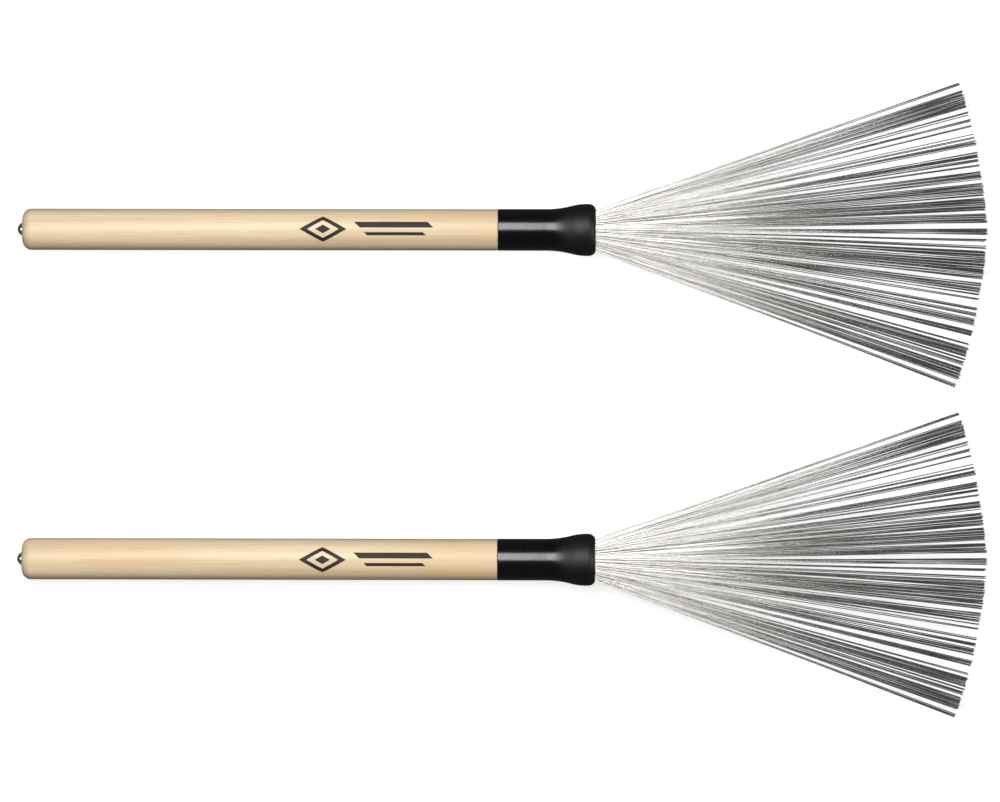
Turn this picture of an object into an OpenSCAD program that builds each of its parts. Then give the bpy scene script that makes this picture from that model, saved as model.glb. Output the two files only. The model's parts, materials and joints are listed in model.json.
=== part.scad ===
// A pair of retractable wire drum brushes with turned wooden handles, lying side by side.
// Each brush is drawn along +X from the flat of its butt, at x = 0, to the wire tips, with its
// axis on the X axis. place() then lays it on the table, resting on its butt and its mouthpiece.

/* [Pair] */
// Distance between the axes of the two brushes
brush_pitch = 112.2; // [108:0.1:160]

/* [Handle] */
// Length of the handle that shows, from the butt to the mouthpiece
handle_len = 161.8; // [155:0.1:190]
// Diameter of the handle
handle_d = 14.1; // [13.6:0.1:15]
// Rounding of the butt's edge
butt_round = 3; // [1:0.1:3]
// Length of the handle's tenon inside the mouthpiece
tenon_len = 12; // [6:0.5:14]
// Diameter of the tenon
tenon_d = 12.4; // [11.6:0.1:12.8]

/* [Mouthpiece] */
// Length of the mouthpiece
collar_len = 33.2; // [32:0.1:38]
// Diameter of its straight part
collar_d = 14.2; // [14.1:0.1:15]
// Diameter of its lip
lip_d = 17.7; // [17.5:0.1:20]
// Distance from its rear end to the start of the flare
flare_start = 16.5; // [14:0.1:17]
// Length of the flare
flare_len = 13.4; // [8:0.1:13.6]
// Share of the flare's length that is hollow, before it rounds over to the lip
flare_hollow = 0.65; // [0.3:0.05:0.8]
// Radius of the rounding of the lip's outer edge
lip_round = 2.6; // [1.5:0.1:2.6]
// How much the lip's radius falls over the rounding
lip_fall = 1.4; // [0.5:0.1:1.4]
// Diameter of the opening at the lip
mouth_d = 14.6; // [14.4:0.1:15]

/* [Guide tube] */
// Outside diameter of the guide tube
tube_d = 10; // [9.9:0.1:10.4]
// Inside diameter of the guide tube
tube_bore = 9.2; // [9.1:0.1:9.4]
// Distance from the lip back to the tube's front end
tube_setback = 7.8; // [7.4:0.1:8]
// Length of the stop ring
stop_len = 3; // [2:0.1:4]
// Bore of the stop ring
stop_bore = 8.3; // [8.3:0.05:8.6]

/* [Pull rod] */
// Diameter of the pull rod
rod_d = 3; // [2.4:0.1:3]
// Diameter of the pull ball
ball_d = 4.6; // [4.4:0.1:5]
// How far the ball stands out of the butt
ball_out = 1.8; // [1.2:0.1:1.8]
// Outside diameter of the bush that guides the rod
bush_d = 7.2; // [6.6:0.1:7.4]
// Length of the bush
bush_len = 14.5; // [13:0.1:16]

/* [Ferrule] */
// Length of the ferrule that joins the wires to the rod
ferrule_len = 35; // [32:0.5:38]
// Diameter of the ferrule's sliding body
ferrule_d = 9; // [8.9:0.05:9.1]
// Diameter of its nose, which passes the stop ring
nose_d = 8.1; // [8:0.05:8.15]
// Length of the nose
nose_len = 6; // [5:0.1:8]
// Distance from the lip back to the ferrule's front end
ferrule_setback = 9.4; // [9:0.1:10]
// Depth of the wire pocket
pocket_depth = 18; // [10:0.5:19]
// Thickness of the friction ring's section
ring_section = 1.6; // [1.4:0.1:1.8]

/* [Wires] */
// Diameter of one wire
wire_d = 0.35; // [0.25:0.01:0.35]
// Distance between the wires at their roots
wire_pitch = 0.37; // [0.36:0.005:0.37]
// Number of rows through the thickness of the fan
wire_rows = 13; // [5:2:13]
// Half width of the bundle of wire roots
bundle_half_w = 3.52; // [3.2:0.01:3.6]
// Half height of the bundle of wire roots
bundle_half_h = 2.3; // [2.25:0.01:2.4]
// Angle between the brush's axis and the outermost wires
fan_half = 20.8; // [10:0.1:21]
// Distance from the lip back to the point that the wires seem to spread from
fan_setback = 18.4; // [17:0.1:20]
// Length of the wires that shows in front of the lip
wire_out = 133.2; // [100:0.1:136]
// Half thickness of the fan at the tips
tip_half_h = 3.2; // [2.4:0.1:4]

/* [Hidden] */
$fn = 96;
PARTS = [
    "wood_handle", "guide_tube", "mouthpiece", "stop_ring", "rod_bush", "friction_ring",
    "pull_rod", "pull_ball", "wire_ferrule", "bond_plug", "rib_wires", "fan_wires"
];

cut = 0.5;            // how far a cutting shape runs past the face that it opens
slide_gap = 0.05;     // radial clearance of a sliding or turning fit
groove_gap = 0.3;     // spare width of the friction ring's groove
seat_gap = 0.15;      // clearance of the ball in its seat
pocket_gap = 0.2;     // clearance of the wires in the ferrule's pocket
root_depth = 0.2;     // how far the wire roots enter the bond plug
socket_depth = 12;    // how deep the rod enters the ferrule
spigot_d = 2.2;       // rod's end inside the ball
spigot_len = 1.8;
tube_overlap = 2;     // how far the bush reaches into the guide tube
ring_back = 6;        // friction ring's centre, in front of the ferrule's rear end
edge_round = 0.2;     // rounding of the mouthpiece's rear edge
eased_edge = 0.3;     // rounding of the handle's edge next to the mouthpiece

mouth_x = handle_len + collar_len;
tube_x = bush_len - tube_overlap;
tube_end = mouth_x - tube_setback;
ball_x = ball_d / 2 - ball_out;
rod_x = ball_x + sqrt(pow(ball_d, 2) - pow(rod_d, 2)) / 2;
ferrule_end = mouth_x - ferrule_setback;
ferrule_x = ferrule_end - ferrule_len;
shoulder_x = ferrule_end - nose_len;
ring_x = ferrule_x + ring_back;
ring_mid_r = tube_bore / 2 - slide_gap - ring_section / 2;
fan_x = mouth_x - fan_setback;
fan_r = fan_setback + wire_out;

// The brush leans back until the butt and the flare's crest touch the table together
crest_x = handle_len + flare_start + flare_len;
lean = asin((lip_d - handle_d) / 2 / (crest_x - butt_round));
rest_z = lip_d / 2 * cos(lean) - crest_x * sin(lean);
pair_mid_x = (fan_x + fan_r - ball_out) / 2;

// The flare is an S of two arcs, a hollow one and a round one, which meet on its chord
hollow_len = flare_hollow * flare_len;
hollow_x = handle_len + flare_start + hollow_len;
function arc_rise(run) = run / flare_len * (lip_d - collar_d) / 2;
function arc_r(run) = (pow(run, 2) + pow(arc_rise(run), 2)) / (2 * arc_rise(run));

// The rows of wires are counted from the middle of the bundle, which is a slot with round ends
row_last = (wire_rows - 1) / 2;
function root_z(row) = row * wire_pitch;
function root_half(row) =
    bundle_half_w - bundle_half_h + sqrt(pow(bundle_half_h, 2) - pow(root_z(row), 2));
function row_count(row) = floor(2 * root_half(row) / wire_pitch);
// Rows are shifted sideways by up to 0.4 of a wire's space, so that few wires hide one another
function row_shift(row) = 0.4 * sin(145 * row);
// A wire's place in its row, from -1 at one edge of the fan to 1 at the other
function share(row, i) = (2 * (i + row_shift(row)) + 1) / row_count(row) - 1;
function root(row, i) =
    [ferrule_end - root_depth, share(row, i) * root_half(row), root_z(row)];
function tip(row, i) = [
    fan_x + fan_r * cos(fan_half * share(row, i)),
    fan_r * sin(fan_half * share(row, i)),
    tip_half_h * row / row_last
];
// Every second wire of the middle row is a rib
function is_rib(row, i) = row == 0 && i % 2 == 0;

module place(n) {
    side = n == 1 ? 1 : -1;
    translate([-pair_mid_x, side * brush_pitch / 2, rest_z])
        rotate([0, -lean, 0])
            children();
}

// Turned solid: the outline's x is the radius and its y is the distance from the butt
module turned() {
    rotate([0, 90, 0])
        rotate_extrude()
            children();
}

// Part of a turned outline, from one distance to another, between two radii
module band(from, to, outer_r, inner_r = 0) {
    translate([inner_r, from])
        square([outer_r - inner_r, to - from]);
}

// Straight wire between two points
module wire(from, to) {
    run = to - from;
    translate(from)
        rotate([0, acos(run.z / norm(run)), atan2(run.y, run.x)])
            cylinder(h = norm(run), d = wire_d);
}

module wires(ribs) {
    for (row = [-row_last:row_last])
        for (i = [0:row_count(row) - 1])
            if (is_rib(row, i) == ribs)
                wire(root(row, i), tip(row, i));
}

// Slot with round ends that holds the wire roots
module bundle_slot(gap) {
    end_r = bundle_half_h + gap;
    for (side = [-1, 1])
        translate([0, side * (bundle_half_w - bundle_half_h)])
            circle(end_r);
    square([2 * end_r, 2 * (bundle_half_w - bundle_half_h)], center = true);
}

module slot_block(from, to) {
    translate([from, 0, 0])
        rotate([0, 90, 0])
            linear_extrude(to - from)
                bundle_slot(pocket_gap);
}

module wood_handle(n) {
    handle_r = handle_d / 2;
    color("burlywood")
        place(n)
            turned()
                difference() {
                    union() {
                        band(butt_round, handle_len - eased_edge, handle_r);
                        band(0, butt_round, handle_r - butt_round);
                        translate([handle_r - butt_round, butt_round])
                            circle(butt_round);
                        band(handle_len / 2, handle_len, handle_r - eased_edge);
                        translate([handle_r - eased_edge, handle_len - eased_edge])
                            circle(eased_edge);
                        band(handle_len, handle_len + tenon_len, tenon_d / 2);
                    }
                    band(-cut, tube_x, bush_d / 2);
                    band(tube_x, mouth_x, tube_d / 2);
                }
}

module guide_tube(n) {
    color("silver")
        place(n)
            turned()
                band(tube_x, tube_end, tube_d / 2, tube_bore / 2);
}

// Outer outline of the mouthpiece, from its rear end to the lip
module mouthpiece_outline() {
    collar_r = collar_d / 2;
    lip_r = lip_d / 2;
    hollow_r = arc_r(hollow_len);
    crest_r = arc_r(flare_len - hollow_len);
    round_x = mouth_x - sqrt(pow(lip_round, 2) - pow(lip_round - lip_fall, 2));
    band(handle_len + edge_round, hollow_x, collar_r);
    band(handle_len, handle_len + edge_round, collar_r - edge_round);
    translate([collar_r - edge_round, handle_len + edge_round])
        circle(edge_round);
    difference() {
        band(hollow_x - hollow_len, hollow_x, collar_r + arc_rise(hollow_len));
        translate([collar_r + hollow_r, hollow_x - hollow_len])
            circle(hollow_r);
    }
    intersection() {
        band(hollow_x, crest_x, lip_r);
        translate([lip_r - crest_r, crest_x])
            circle(crest_r);
    }
    band(crest_x, round_x, lip_r);
    intersection() {
        band(round_x, mouth_x, lip_r);
        translate([lip_r - lip_round, round_x])
            circle(lip_round);
    }
}

module mouthpiece(n) {
    color([0.09, 0.09, 0.1])
        place(n)
            turned()
                difference() {
                    mouthpiece_outline();
                    band(handle_len - cut, handle_len + tenon_len, tenon_d / 2);
                    band(handle_len, tube_end, tube_d / 2);
                    polygon([
                        [0, tube_end - cut], [tube_bore / 2, tube_end - cut],
                        [tube_bore / 2, tube_end], [mouth_d / 2, mouth_x],
                        [mouth_d / 2, mouth_x + cut], [0, mouth_x + cut]
                    ]);
                }
}

module stop_ring(n) {
    color("gray")
        place(n)
            turned()
                band(shoulder_x + slide_gap, shoulder_x + stop_len, tube_bore / 2, stop_bore / 2);
}

module rod_bush(n) {
    color([0.2, 0.2, 0.22])
        place(n)
            turned()
                difference() {
                    band(0, bush_len, bush_d / 2, rod_d / 2 + slide_gap);
                    translate([0, ball_x])
                        circle(ball_d / 2 + seat_gap);
                }
}

module friction_ring(n) {
    color("dimgray")
        place(n)
            turned()
                translate([ring_mid_r, ring_x])
                    circle(d = ring_section);
}

module pull_rod(n) {
    color("lightsteelblue")
        place(n)
            turned() {
                band(rod_x, ferrule_x + socket_depth, rod_d / 2);
                band(rod_x - spigot_len, rod_x, spigot_d / 2);
            }
}

module pull_ball(n) {
    color("gainsboro")
        place(n)
            turned()
                difference() {
                    translate([0, ball_x])
                        circle(d = ball_d);
                    translate([-ball_d, ball_x - ball_d])
                        square([ball_d, 2 * ball_d]);
                    band(rod_x - spigot_len, rod_x + cut, spigot_d / 2);
                    band(rod_x, rod_x + ball_d, ball_d);
                }
}

module wire_ferrule(n) {
    groove_half = (ring_section + groove_gap) / 2;
    groove_r = ring_mid_r - ring_section / 2 - slide_gap;
    color("goldenrod")
        place(n)
            difference() {
                turned()
                    difference() {
                        union() {
                            band(ferrule_x, shoulder_x, ferrule_d / 2);
                            band(shoulder_x, ferrule_end, nose_d / 2);
                        }
                        band(ferrule_x - cut, ferrule_x + socket_depth, rod_d / 2);
                        band(ring_x - groove_half, ring_x + groove_half, ferrule_d, groove_r);
                    }
                slot_block(ferrule_end - pocket_depth, ferrule_end + cut);
            }
}

module bond_plug(n) {
    color("saddlebrown")
        place(n)
            slot_block(ferrule_end - pocket_depth, ferrule_end);
}

module rib_wires(n) {
    color("whitesmoke")
        place(n)
            wires(true);
}

module fan_wires(n) {
    color("lightgray")
        place(n)
            wires(false);
}

wood_handle(1);  // wood_handle_1
guide_tube(1);  // guide_tube_1
mouthpiece(1);  // mouthpiece_1
stop_ring(1);  // stop_ring_1
rod_bush(1);  // rod_bush_1
friction_ring(1);  // friction_ring_1
pull_rod(1);  // pull_rod_1
pull_ball(1);  // pull_ball_1
wire_ferrule(1);  // wire_ferrule_1
bond_plug(1);  // bond_plug_1
rib_wires(1);  // rib_wires_1
fan_wires(1);  // fan_wires_1
wood_handle(2);  // wood_handle_2
guide_tube(2);  // guide_tube_2
mouthpiece(2);  // mouthpiece_2
stop_ring(2);  // stop_ring_2
rod_bush(2);  // rod_bush_2
friction_ring(2);  // friction_ring_2
pull_rod(2);  // pull_rod_2
pull_ball(2);  // pull_ball_2
wire_ferrule(2);  // wire_ferrule_2
bond_plug(2);  // bond_plug_2
rib_wires(2);  // rib_wires_2
fan_wires(2);  // fan_wires_2
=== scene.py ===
"""A pair of retractable wire drum brushes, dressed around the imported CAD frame.

The handles, mouthpieces, balls and inner parts stay as CAD nodes and get procedural materials.
The wires are remade here as round wires that gather in clumps towards the tips, and a plain
printed mark is laid on each handle.
"""

import json
import math
import random

import bpy
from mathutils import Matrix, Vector


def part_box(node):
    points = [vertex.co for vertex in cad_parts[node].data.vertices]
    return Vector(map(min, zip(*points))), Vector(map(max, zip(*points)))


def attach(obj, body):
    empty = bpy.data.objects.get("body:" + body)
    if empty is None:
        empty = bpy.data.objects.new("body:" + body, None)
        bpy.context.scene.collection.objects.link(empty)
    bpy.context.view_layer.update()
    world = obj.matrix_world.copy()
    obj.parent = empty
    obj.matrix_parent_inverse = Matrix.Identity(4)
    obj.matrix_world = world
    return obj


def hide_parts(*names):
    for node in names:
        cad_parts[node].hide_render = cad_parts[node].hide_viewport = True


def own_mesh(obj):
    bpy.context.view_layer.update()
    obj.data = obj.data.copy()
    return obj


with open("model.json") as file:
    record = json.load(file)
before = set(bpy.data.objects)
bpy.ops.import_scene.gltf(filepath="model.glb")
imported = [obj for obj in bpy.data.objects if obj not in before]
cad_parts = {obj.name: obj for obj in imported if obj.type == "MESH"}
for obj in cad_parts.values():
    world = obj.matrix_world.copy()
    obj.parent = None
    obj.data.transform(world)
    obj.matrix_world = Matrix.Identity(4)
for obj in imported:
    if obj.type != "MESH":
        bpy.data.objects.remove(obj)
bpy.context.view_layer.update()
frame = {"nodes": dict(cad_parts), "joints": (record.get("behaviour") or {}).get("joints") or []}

MM = 0.001
BRUSHES = (1, 2)
JOINTS = {joint["name"]: joint for joint in frame["joints"]}

# Wires
WIRE_RADIUS = 0.175 * MM
WIRE_SIDES = 8
ROOT_PITCH = 0.37 * MM           # distance between the wires where they leave the ferrule
ROOT_INSET = 0.3 * MM            # how far they start inside the resin
SLOT_GAP = 0.25 * MM             # play between the bundle and the ferrule's slot
APEX_SETBACK = 18.4 * MM         # point behind the lip that the wires seem to spread from
TIP_SHORTENING = 1.0 * MM        # how much shorter most wires are than those in the middle
LONGEST_WITHIN = 8               # angle over which that shortening comes in, in degrees
TIP_HALF_THICKNESS = 2.7 * MM    # half the fan's thickness at its tips, in the middle
TIP_DROOP = 0.8 * MM             # how far the tips hang below the axis
FAN_EDGE = 21.5                  # angle at which the fan's thickness comes to nothing
FAN_SIDES = (-20.75, 19.5)       # angles of the outermost wires
WIRES = 201                      # wires in a fan
CLUMP_COUNT = 36                 # clumps that they gather in towards the tips
CLUMP_DENSITY = 1.02             # wires side by side in a clump, as a share of a close row
CLUMP_SPREAD = 1.0               # how uneven the clumps are in size; 0 makes them all alike
GAP_SPREAD = 0.6                 # how uneven the gaps between the clumps are
ANGLE_PLAY = 0.02                # how many degrees a tip strays from its place in its clump
CROSSING = 0.5                   # how many degrees its root strays, so that some wires cross
LENGTH_PLAY = 0.15 * MM          # how much the wires' lengths differ
SIDE_BOW = 0.2 * MM              # how much wires bow sideways half way along
UP_BOW = (0.5 * MM, 0.3 * MM)    # how much they bow upwards: the mean, and how much it differs
# Where the rings of a wire's mesh lie, as shares of its length. The last two make the tip's rim.
RING_SHARES = (0.0, 0.012, 0.06, 0.14, 0.26, 0.40, 0.55, 0.70, 0.85, 0.9988, 1.0)
TIP_RADIUS = 0.8                 # radius of a wire's last ring, as a share of the wire's
FAN_SEED = 11


class Brush:
    """One brush's own axes: along from the lip to the tips, across towards +Y, and up."""

    def __init__(self, number):
        spin = JOINTS[f"rod_spin_{number}"]
        centre = Vector(spin["pos_m"])
        self.number = number
        self.forward = Vector(spin["axis"])
        self.across = Vector((0, 1, 0))
        self.up = self.forward.cross(self.across)
        self.lip = self.on_axis(centre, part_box(f"mouthpiece_{number}")[1].x)
        self.butt = self.on_axis(centre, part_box(f"wood_handle_{number}")[0].x)
        self.ferrule = self.on_axis(centre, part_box(f"bond_plug_{number}")[1].x)
        self.apex = self.lip - self.forward * APEX_SETBACK
        tips = self.on_axis(centre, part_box(f"fan_wires_{number}")[1].x)
        self.reach = (tips - self.apex).length

    def on_axis(self, centre, x):
        return centre + self.forward * ((x - centre.x) / self.forward.x)

    def point(self, start, along, across, up):
        return start + self.forward * along + self.across * across + self.up * up


# ---------------------------------------------------------------- materials


class Nodes:
    """Short names for building one material's node tree."""

    def __init__(self, name):
        self.material = bpy.data.materials.new(name)
        self.material.use_nodes = True
        self.tree = self.material.node_tree
        self.shader = self.tree.nodes["Principled BSDF"]
        self.where = self.add("ShaderNodeTexCoord").outputs["Object"]

    def add(self, kind, **settings):
        node = self.tree.nodes.new(kind)
        for name, value in settings.items():
            setattr(node, name, value)
        return node

    def link(self, source, target):
        self.tree.links.new(source, target)

    def set(self, **values):
        for name, value in values.items():
            self.shader.inputs[name.replace("_", " ")].default_value = value

    def stretched(self, scale, offset=(0, 0, 0)):
        mapping = self.add("ShaderNodeMapping")
        mapping.inputs["Scale"].default_value = scale
        mapping.inputs["Location"].default_value = offset
        self.link(self.where, mapping.inputs["Vector"])
        return mapping.outputs["Vector"]

    def noise(self, scale, detail=3.0, rough=0.5, offset=(0, 0, 0)):
        texture = self.add("ShaderNodeTexNoise")
        texture.inputs["Scale"].default_value = 1.0
        texture.inputs["Detail"].default_value = detail
        texture.inputs["Roughness"].default_value = rough
        self.link(self.stretched(scale, offset), texture.inputs["Vector"])
        return texture.outputs["Fac"]

    def along(self):
        split = self.add("ShaderNodeSeparateXYZ")
        self.link(self.where, split.inputs["Vector"])
        return split.outputs["X"]

    def sum(self, first, second):
        total = self.add("ShaderNodeMath", operation="ADD")
        self.link(first, total.inputs[0])
        self.link(second, total.inputs[1])
        return total.outputs["Value"]

    def ramp(self, value, *stops):
        ramp = self.add("ShaderNodeValToRGB")
        elements = ramp.color_ramp.elements
        while len(elements) < len(stops):
            elements.new(0.5)
        for element, (position, colour) in zip(elements, stops):
            element.position = position
            element.color = (*colour, 1.0) if len(colour) == 3 else colour
        self.link(value, ramp.inputs["Fac"])
        return ramp.outputs["Color"]

    def range(self, value, low, high, source=(0.0, 1.0)):
        mapped = self.add("ShaderNodeMapRange")
        mapped.inputs["From Min"].default_value = source[0]
        mapped.inputs["From Max"].default_value = source[1]
        mapped.inputs["To Min"].default_value = low
        mapped.inputs["To Max"].default_value = high
        self.link(value, mapped.inputs["Value"])
        return mapped.outputs["Result"]

    def mix(self, blend, factor, first, second):
        mix = self.add("ShaderNodeMix", data_type="RGBA", blend_type=blend)
        if isinstance(factor, float):
            mix.inputs["Factor"].default_value = factor
        else:
            self.link(factor, mix.inputs["Factor"])
        self.link(first, mix.inputs["A"])
        if isinstance(second, tuple):
            mix.inputs["B"].default_value = (*second, 1.0)
        else:
            self.link(second, mix.inputs["B"])
        return mix.outputs["Result"]

    def colour(self, source):
        self.link(source, self.shader.inputs["Base Color"])

    def roughness(self, value, low, high):
        self.link(self.range(value, low, high), self.shader.inputs["Roughness"])

    def bump(self, height, depth, strength):
        bump = self.add("ShaderNodeBump")
        bump.inputs["Strength"].default_value = strength
        bump.inputs["Distance"].default_value = depth
        self.link(height, bump.inputs["Height"])
        self.link(bump.outputs["Normal"], self.shader.inputs["Normal"])


def grey(level, warm=0.0):
    return (level * (1 + warm), level, level * (1 - warm))


def wood_material():
    """Pale straight-grained hickory, sanded and lacquered."""
    n = Nodes("lacquered_hickory")
    broad = n.noise((5, 260, 260), detail=4)
    fibre = n.noise((28, 2600, 2600), detail=6, rough=0.65)
    pores = n.noise((70, 3600, 3600), detail=2, offset=(3, 1, 2))
    patch = n.noise((16, 60, 60), detail=2, offset=(7, 0, 4))
    base = n.ramp(
        broad,
        (0.28, (0.62, 0.48, 0.30)),
        (0.50, (0.69, 0.555, 0.36)),
        (0.72, (0.75, 0.625, 0.43)),
    )
    fibre_tone = n.ramp(fibre, (0.30, grey(0.66, 0.08)), (0.62, grey(1.0)))
    tinted = n.mix("MULTIPLY", 0.4, base, fibre_tone)
    rosy = n.mix("MULTIPLY", n.range(patch, 0.0, 0.6, (0.45, 0.7)), tinted, (1.0, 0.90, 0.80))
    flecked = n.mix(
        "MULTIPLY", n.range(pores, 0.0, 0.4, (0.64, 0.74)), rosy, (0.50, 0.36, 0.22)
    )
    n.colour(flecked)
    n.roughness(fibre, 0.46, 0.60)
    n.set(Specular_IOR_Level=0.3, Coat_Weight=0.3, Coat_Roughness=0.3)
    n.bump(fibre, 0.02 * MM, 0.5)
    return n.material


# The mouthpiece's gloss fades between these distances behind its lip
SATIN_START = 14.5 * MM
SATIN_FULL = 10.0 * MM


def mouthpiece_material():
    """Black moulded plastic: glossy on the straight part, and satin over the flare."""
    n = Nodes("black_plastic")
    ripple = n.noise((120, 160, 160), detail=2)
    scuff = n.noise((900, 160, 160), detail=5, rough=0.7, offset=(1, 5, 2))
    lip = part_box("mouthpiece_1")[1].x
    n.colour(n.ramp(scuff, (0.35, grey(0.0010)), (0.75, grey(0.0030, 0.05))))
    satin = n.range(n.along(), 0.0, 0.30, (lip - SATIN_START, lip - SATIN_FULL))
    n.roughness(n.sum(n.range(scuff, 0.15, 0.27), satin), 0.0, 1.0)
    n.bump(ripple, 0.05 * MM, 0.35)
    return n.material


def metal_material(name, dark, light, rough, along, depth=0.004 * MM, across=2400):
    """Bare metal with fine marks of how it was made: drawn along X, or turned round it."""
    n = Nodes(name)
    marks = n.noise((along, across, across), detail=5, rough=0.6)
    stain = n.noise((90, 220, 220), detail=3, offset=(4, 4, 1))
    tone = n.ramp(marks, (0.3, dark), (0.7, light))
    n.colour(n.mix("MULTIPLY", n.range(stain, 0.0, 0.35, (0.4, 0.8)), tone, (0.72, 0.70, 0.66)))
    n.roughness(marks, rough[0], rough[1])
    n.set(Metallic=1.0)
    n.bump(marks, depth, 0.6)
    return n.material


def plain_material(name, dark, light, rough, grain=900, depth=0.02 * MM):
    """Rubber, nylon, resin or ink: a fine even grain in colour, gloss and surface."""
    n = Nodes(name)
    speck = n.noise((grain,) * 3, detail=4, rough=0.6)
    n.colour(n.ramp(speck, (0.35, dark), (0.7, light)))
    n.roughness(speck, rough[0], rough[1])
    n.bump(speck, depth, 0.5)
    return n.material


def wire_material():
    """Drawn spring steel. Each wire has its own tone, kept in the mesh's wire_tone layer."""
    n = Nodes("spring_steel_wire")
    tone = n.add("ShaderNodeAttribute", attribute_name="wire_tone").outputs["Fac"]
    drawn = n.noise((160, 9000, 9000), detail=3)
    steel = n.ramp(tone, (0.0, (0.53, 0.515, 0.485)), (1.0, (0.71, 0.70, 0.67)))
    drawn_tone = n.ramp(drawn, (0.3, grey(0.7, 0.02)), (0.7, grey(1.0)))
    n.colour(n.mix("MULTIPLY", 0.35, steel, drawn_tone))
    n.roughness(tone, 0.24, 0.17)
    n.set(Metallic=1.0)
    n.bump(drawn, 0.003 * MM, 0.5)
    return n.material


def dress(node, material):
    mesh = frame["nodes"][node].data
    mesh.materials.clear()
    mesh.materials.append(material)


def dress_cad_nodes():
    finishes = {
        "wood_handle": wood_material(),
        "mouthpiece": mouthpiece_material(),
        "guide_tube": metal_material("drawn_aluminium", grey(0.62), grey(0.82), (0.28, 0.42), 30),
        "stop_ring": metal_material("pressed_steel", grey(0.42), grey(0.58), (0.3, 0.45), 500),
        "pull_rod": metal_material("drawn_steel", grey(0.50, 0.02), grey(0.68), (0.16, 0.30), 30),
        "pull_ball": metal_material(
            "chromed_steel", grey(0.66), grey(0.80), (0.05, 0.12), 600, 0.001 * MM, 600
        ),
        "wire_ferrule": metal_material(
            "turned_brass", (0.66, 0.44, 0.17), (0.85, 0.63, 0.30), (0.18, 0.34), 5200, across=60
        ),
        "rod_bush": plain_material("black_nylon", grey(0.012), grey(0.030), (0.42, 0.6)),
        "friction_ring": plain_material("black_rubber", grey(0.010), grey(0.026), (0.6, 0.8)),
        "bond_plug": plain_material(
            "bonding_resin", (0.10, 0.05, 0.02), (0.20, 0.11, 0.05), (0.2, 0.4)
        ),
    }
    for number in BRUSHES:
        for part, material in finishes.items():
            dress(f"{part}_{number}", material)
    return finishes


# ---------------------------------------------------------------- wires


def root_places(brush, count):
    """Where the wires leave the ferrule: rows in a slot with round ends, from one side on."""
    low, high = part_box(f"bond_plug_{brush.number}")
    half_width = (high.y - low.y) / 2 - SLOT_GAP
    half_height = (high.z - low.z) / 2 - SLOT_GAP
    rows = int(half_height / ROOT_PITCH)
    places = []
    for row in range(-rows, rows + 1):
        up = row * ROOT_PITCH
        reach = half_width - half_height + math.sqrt(half_height**2 - up**2)
        in_row = int(2 * reach / ROOT_PITCH)
        shift = 0.4 * math.sin(2.5 * row)
        for i in range(in_row):
            places.append((((i + shift) * 2 + 1) / in_row * reach - reach, up))
    places.sort()
    step = len(places) / count
    return [places[int(i * step)] for i in range(count)]


def shares(count, spread, chance):
    """This many random parts of a whole, as uneven as the spread says."""
    weights = [chance.lognormvariate(0, spread) for _ in range(count)]
    return [weight / sum(weights) for weight in weights]


def clump_sizes(chance):
    """How many wires each clump holds: at least one, and WIRES in all."""
    sizes, placed, whole = [], 0, 0.0
    for share in shares(CLUMP_COUNT, CLUMP_SPREAD, chance):
        whole += share * (WIRES - CLUMP_COUNT)
        sizes.append(1 + round(whole) - placed)
        placed = round(whole)
    return sizes


def tip_angles(reach, chance):
    """Angles of the wires at their tips, from the -Y side of the fan to the +Y side."""
    first, last = FAN_SIDES
    pitch = math.degrees(2 * WIRE_RADIUS / reach) / CLUMP_DENSITY
    room = last - first - pitch * (WIRES - 1)
    sizes = clump_sizes(chance)
    gaps = [room * share for share in shares(CLUMP_COUNT - 1, GAP_SPREAD, chance)] + [0]
    angles, angle = [], first
    for size, gap in zip(sizes, gaps):
        for _ in range(size):
            angles.append(angle + chance.uniform(-ANGLE_PLAY, ANGLE_PLAY))
            angle += pitch
        angle += gap
    return sorted(angles)


def wire_line(brush, root, angle, chance):
    """Points on the middle of one wire, from its root to its tip."""
    start = brush.point(brush.ferrule, -ROOT_INSET, root[0], root[1])
    shortening = TIP_SHORTENING * min(1, abs(angle) / LONGEST_WITHIN)
    reach = brush.reach - shortening + chance.gauss(0, LENGTH_PLAY)
    turn = math.radians(angle)
    crown = math.sqrt(1 - (angle / FAN_EDGE) ** 2)
    tip_up = TIP_HALF_THICKNESS * crown * chance.uniform(-1, 1) - TIP_DROOP
    tip = brush.point(brush.apex, reach * math.cos(turn), reach * math.sin(turn), tip_up)
    side_bow = chance.gauss(0, SIDE_BOW)
    up_bow = chance.gauss(*UP_BOW)
    points = []
    for share in RING_SHARES:
        bow = math.sin(math.pi * share)
        middle = start.lerp(tip, share)
        points.append(middle + brush.across * side_bow * bow + brush.up * up_bow * bow)
    return points


def add_tube(line, up, verts, faces):
    """A round wire along the line, its tip's rim just broken. Returns its number of vertices."""
    first = len(verts)
    for k, point in enumerate(line):
        radius = WIRE_RADIUS * (TIP_RADIUS if k == len(line) - 1 else 1)
        tangent = (line[min(k + 1, len(line) - 1)] - line[max(k - 1, 0)]).normalized()
        side = up.cross(tangent).normalized()
        top = tangent.cross(side)
        for s in range(WIRE_SIDES):
            a = 2 * math.pi * (s + 0.5) / WIRE_SIDES
            verts.append(point + radius * (side * math.cos(a) + top * math.sin(a)))
    for k in range(len(line) - 1):
        for s in range(WIRE_SIDES):
            t = (s + 1) % WIRE_SIDES
            near, far = first + k * WIRE_SIDES, first + (k + 1) * WIRE_SIDES
            faces.append((near + s, near + t, far + t, far + s))
    last = first + (len(line) - 1) * WIRE_SIDES
    faces.append(tuple(reversed(range(first, first + WIRE_SIDES))))
    faces.append(tuple(range(last, last + WIRE_SIDES)))
    return len(verts) - first


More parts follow.
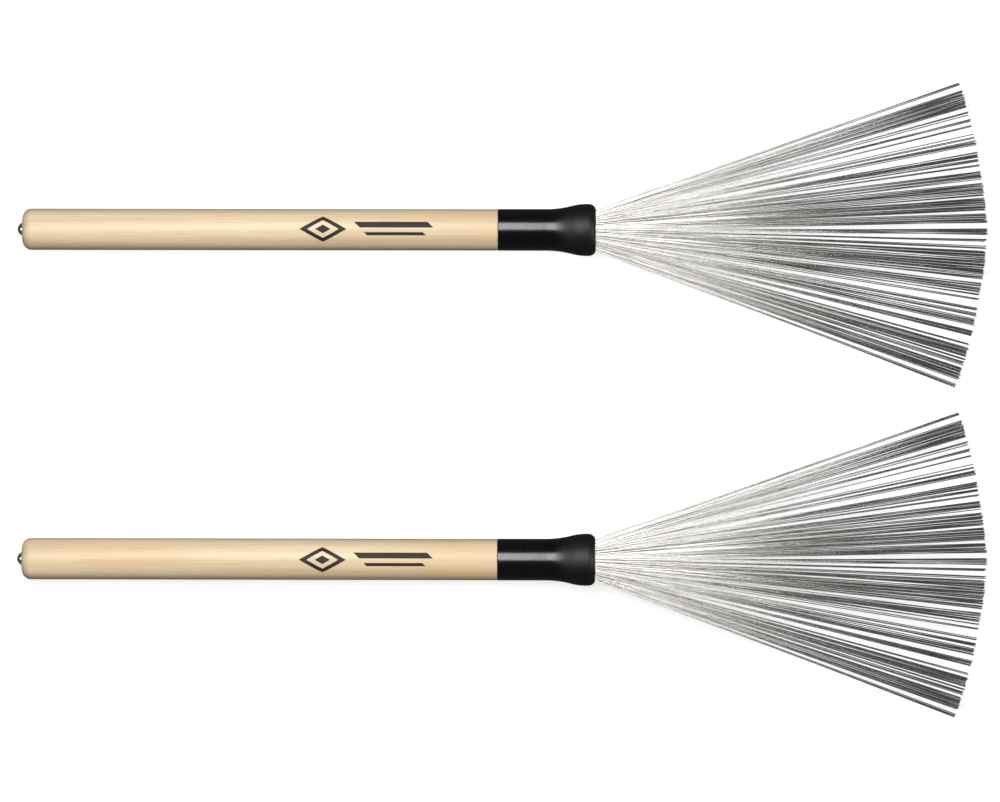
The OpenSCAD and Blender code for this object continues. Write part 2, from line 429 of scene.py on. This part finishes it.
def make_fan(brush, material):
    chance = random.Random(FAN_SEED)
    angles = tip_angles(brush.reach, chance)
    roots = root_places(brush, len(angles))
    # Most wires keep their order from root to tip, and a few cross their neighbours
    order = sorted(range(len(angles)), key=lambda i: angles[i] + chance.gauss(0, CROSSING))
    verts, faces, tones = [], [], []
    for root, which in zip(roots, order):
        line = wire_line(brush, root, angles[which], chance)
        tone = chance.random()
        tones += [tone] * add_tube(line, brush.up, verts, faces)
    mesh = bpy.data.meshes.new(f"fan_{brush.number}")
    mesh.from_pydata(verts, [], faces)
    mesh.attributes.new("wire_tone", "FLOAT", "POINT").data.foreach_set("value", tones)
    mesh.polygons.foreach_set("use_smooth", [len(face) == 4 for face in faces])
    mesh.materials.append(material)
    mesh.validate()
    fan = bpy.data.objects.new(f"fan_{brush.number}", mesh)
    bpy.context.scene.collection.objects.link(fan)
    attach(fan, f"rod_{brush.number}")
    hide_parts(f"fan_wires_{brush.number}", f"rib_wires_{brush.number}")
    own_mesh(fan)
    return fan


# ---------------------------------------------------------------- printed mark

# The mark's parts, in millimetres: distance from the butt and distance round the handle from
# its top line. Each is a band with four corners, in order round it.
MARK_START = 94.5
LOZENGE = (8.0, 4.6)             # half length and half height of the outer lozenge
LOZENGE_LINE = 1.5               # width of its line
HEART = (2.6, 1.5)               # half length and half height of the small lozenge inside
BARS = ((20.5, 45.5, 1.5, 2.0), (23.0, 43.0, -1.6, 1.1))    # start, end, height and width
MARK_STEPS = 10                  # faces along each side of a band
INK_DEPTH = 0.02 * MM            # how far the ink stands above the wood, and reaches into it


def lozenge_bands():
    """A lozenge's outline as four mitred bands, and the small solid lozenge inside it."""
    long, tall = LOZENGE
    inner = 1 - LOZENGE_LINE / tall
    corners = [(long, 0), (0, tall), (-long, 0), (0, -tall)]
    bands = []
    for k, (x, y) in enumerate(corners):
        u, v = corners[(k + 1) % 4]
        bands.append(((x, y), (u, v), (u * inner, v * inner), (x * inner, y * inner)))
    bands.append(((HEART[0], 0), (0, HEART[1]), (-HEART[0], 0), (0, -HEART[1])))
    return [[(x + long, y) for x, y in quad] for quad in bands]


def bar_bands():
    """Two plain rules with slanted ends."""
    bands = []
    for start, end, height, width in BARS:
        low, high = height - width / 2, height + width / 2
        bands.append(((start, low), (end, low), (end - width, high), (start - width, high)))
    return bands


def make_mark(brush, material, radius):
    """Thin ink patches that follow the handle's round top."""
    steps = MARK_STEPS
    verts, faces = [], []

    def wrap(x, y, lift):
        angle = y * MM / radius
        r = radius + lift
        along = (MARK_START + x) * MM
        return brush.point(brush.butt, along, r * math.sin(angle), r * math.cos(angle))

    for a, b, c, d in lozenge_bands() + bar_bands():
        first = len(verts)
        for lift in (INK_DEPTH, -INK_DEPTH):
            for i in range(steps + 1):
                for j in range(steps + 1):
                    s, t = i / steps, j / steps
                    x = (a[0] * (1 - s) + b[0] * s) * (1 - t) + (d[0] * (1 - s) + c[0] * s) * t
                    y = (a[1] * (1 - s) + b[1] * s) * (1 - t) + (d[1] * (1 - s) + c[1] * s) * t
                    verts.append(wrap(x, y, lift))
        row = steps + 1
        under = first + row * row
        for i in range(steps):
            for j in range(steps):
                p = first + i * row + j
                faces.append((p, p + row, p + row + 1, p + 1))
                q = p + row * row
                faces.append((q, q + 1, q + row + 1, q + row))
        rim = [i * row for i in range(steps)]
        rim += [steps * row + j for j in range(steps)]
        rim += [(steps - i) * row + steps for i in range(steps)]
        rim += [steps - j for j in range(steps)]
        for k, p in enumerate(rim):
            q = rim[(k + 1) % len(rim)]
            faces.append((first + q, first + p, under + p, under + q))
    mesh = bpy.data.meshes.new(f"printed_mark_{brush.number}")
    mesh.from_pydata(verts, [], faces)
    mesh.materials.append(material)
    mesh.validate()
    mark = bpy.data.objects.new(f"printed_mark_{brush.number}", mesh)
    bpy.context.scene.collection.objects.link(mark)
    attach(mark, f"handle_{brush.number}")
    return mark


# ---------------------------------------------------------------- stage, light and camera

CAMERA_CENTRE = Vector((-0.63, -2.15, 9.0)) * MM
CAMERA_ROLL = 0.1                # degrees
VIEW_WIDTH = 340.2 * MM
LENS = 200.0
SENSOR = 36.0

FLOOR_SIZE = 4.0                 # half the floor's side, in metres
FLOOR_GLOW = 0.75
# Strength of the world as a light on the brushes, and as seen behind them
AMBIENT = 0.10
BACKDROP = 0.85
PANEL_HEIGHT = 0.45              # height of the softboxes over the handles and the wires
END_PANEL = (0.6, 0.6)           # size of the two lights beyond the ends


def add_camera():
    data = bpy.data.cameras.new("camera")
    data.lens = LENS
    data.sensor_width = SENSOR
    distance = VIEW_WIDTH * LENS / SENSOR
    data.clip_start, data.clip_end = 0.05, 50
    camera = bpy.data.objects.new("camera", data)
    camera.location = CAMERA_CENTRE + Vector((0, 0, distance))
    camera.rotation_euler.z = math.radians(CAMERA_ROLL)
    bpy.context.scene.collection.objects.link(camera)
    bpy.context.scene.camera = camera


def add_panel(name, centre, size, power, aim=None):
    """A soft light of this size along X and Y. It faces straight down unless it has an aim."""
    data = bpy.data.lights.new(name, "AREA")
    data.shape = "RECTANGLE"
    data.size, data.size_y = size
    data.energy = power
    panel = bpy.data.objects.new(name, data)
    panel.location = centre
    if aim:
        panel.rotation_euler = (Vector(aim) - Vector(centre)).to_track_quat("-Z", "Y").to_euler()
    panel.visible_camera = False
    bpy.context.scene.collection.objects.link(panel)
    return panel


def add_floor():
    mesh = bpy.data.meshes.new("floor")
    corners = [(x * FLOOR_SIZE, y * FLOOR_SIZE, 0) for x, y in ((-1, -1), (1, -1), (1, 1), (-1, 1))]
    mesh.from_pydata(corners, [], [(0, 1, 2, 3)])
    n = Nodes("pale_floor")
    n.colour(n.ramp(n.noise((30, 30, 30)), (0.3, grey(0.30)), (0.7, grey(0.33))))
    n.set(Roughness=0.9, Specular_IOR_Level=0.1)
    n.set(Emission_Color=(1.0, 1.0, 1.0, 1.0), Emission_Strength=FLOOR_GLOW)
    mesh.materials.append(n.material)
    floor = bpy.data.objects.new("floor", mesh)
    # The floor glows a little like a light table, and throws no light back on the brushes
    floor.visible_diffuse = False
    floor.visible_glossy = False
    bpy.context.scene.collection.objects.link(floor)
    return floor


def light_only(panel, pieces):
    """The panel lights these pieces, and leaves the rest of the scene alone."""
    lit = bpy.data.collections.new(f"lit_by_{panel.name}")
    for piece in pieces:
        lit.objects.link(piece)
    panel.light_linking.receiver_collection = lit


def add_light(groups, floor):
    world = bpy.data.worlds.new("studio")
    world.use_nodes = True
    nodes, links = world.node_tree.nodes, world.node_tree.links
    background = nodes["Background"]
    background.inputs["Color"].default_value = (1.0, 0.99, 0.98, 1.0)
    # What is seen beyond the floor is pale, and the brushes take only a little light from it
    path = nodes.new("ShaderNodeLightPath")
    strength = nodes.new("ShaderNodeMapRange")
    strength.inputs["To Min"].default_value = AMBIENT
    strength.inputs["To Max"].default_value = BACKDROP
    links.new(path.outputs["Is Camera Ray"], strength.inputs["Value"])
    links.new(strength.outputs["Result"], background.inputs["Strength"])
    bpy.context.scene.world = world
    for brush, fan, mouthpiece, rest in groups:
        tag, y = brush.number, brush.lip.y
        # Softbox over the handle, a little to the +Y side
        key = add_panel(f"key_{tag}", (-0.105, y + 0.145, PANEL_HEIGHT), (0.25, 0.31), 2.4)
        light_only(key, [floor, *rest])
        # Softbox over the mouths and the first half of the wires
        wires = add_panel(f"wires_{tag}", (0.018, y + 0.06, PANEL_HEIGHT), (0.136, 0.40), 1.58)
        light_only(wires, [fan])
        # Short, low softbox that draws the bright line along the mouthpiece
        line = add_panel(f"line_{tag}", (-0.0145, y + 0.073, 0.21), (0.071, 0.15), 0.37)
        light_only(line, [mouthpiece])
    # These two light the floor from beyond the ends of the brushes
    add_panel("end_front", (1.3, 0, 0.9), END_PANEL, 10, aim=(0.1, 0, 0))
    add_panel("end_back", (-1.3, 0, 0.9), END_PANEL, 4, aim=(-0.1, 0, 0))
    bpy.context.scene.view_settings.view_transform = "Standard"


def main():
    add_camera()
    floor = add_floor()
    finishes = dress_cad_nodes()
    steel = wire_material()
    ink = plain_material("brown_ink", (0.008, 0.005, 0.004), (0.018, 0.011, 0.008), (0.6, 0.75))
    low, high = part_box("wood_handle_1")
    radius = (high.y - low.y) / 2
    groups = []
    for number in BRUSHES:
        brush = Brush(number)
        mouthpiece = frame["nodes"][f"mouthpiece_{number}"]
        rest = [frame["nodes"][f"{part}_{number}"] for part in finishes if part != "mouthpiece"]
        rest.append(make_mark(brush, ink, radius))
        groups.append((brush, make_fan(brush, steel), mouthpiece, rest))
    add_light(groups, floor)


main()
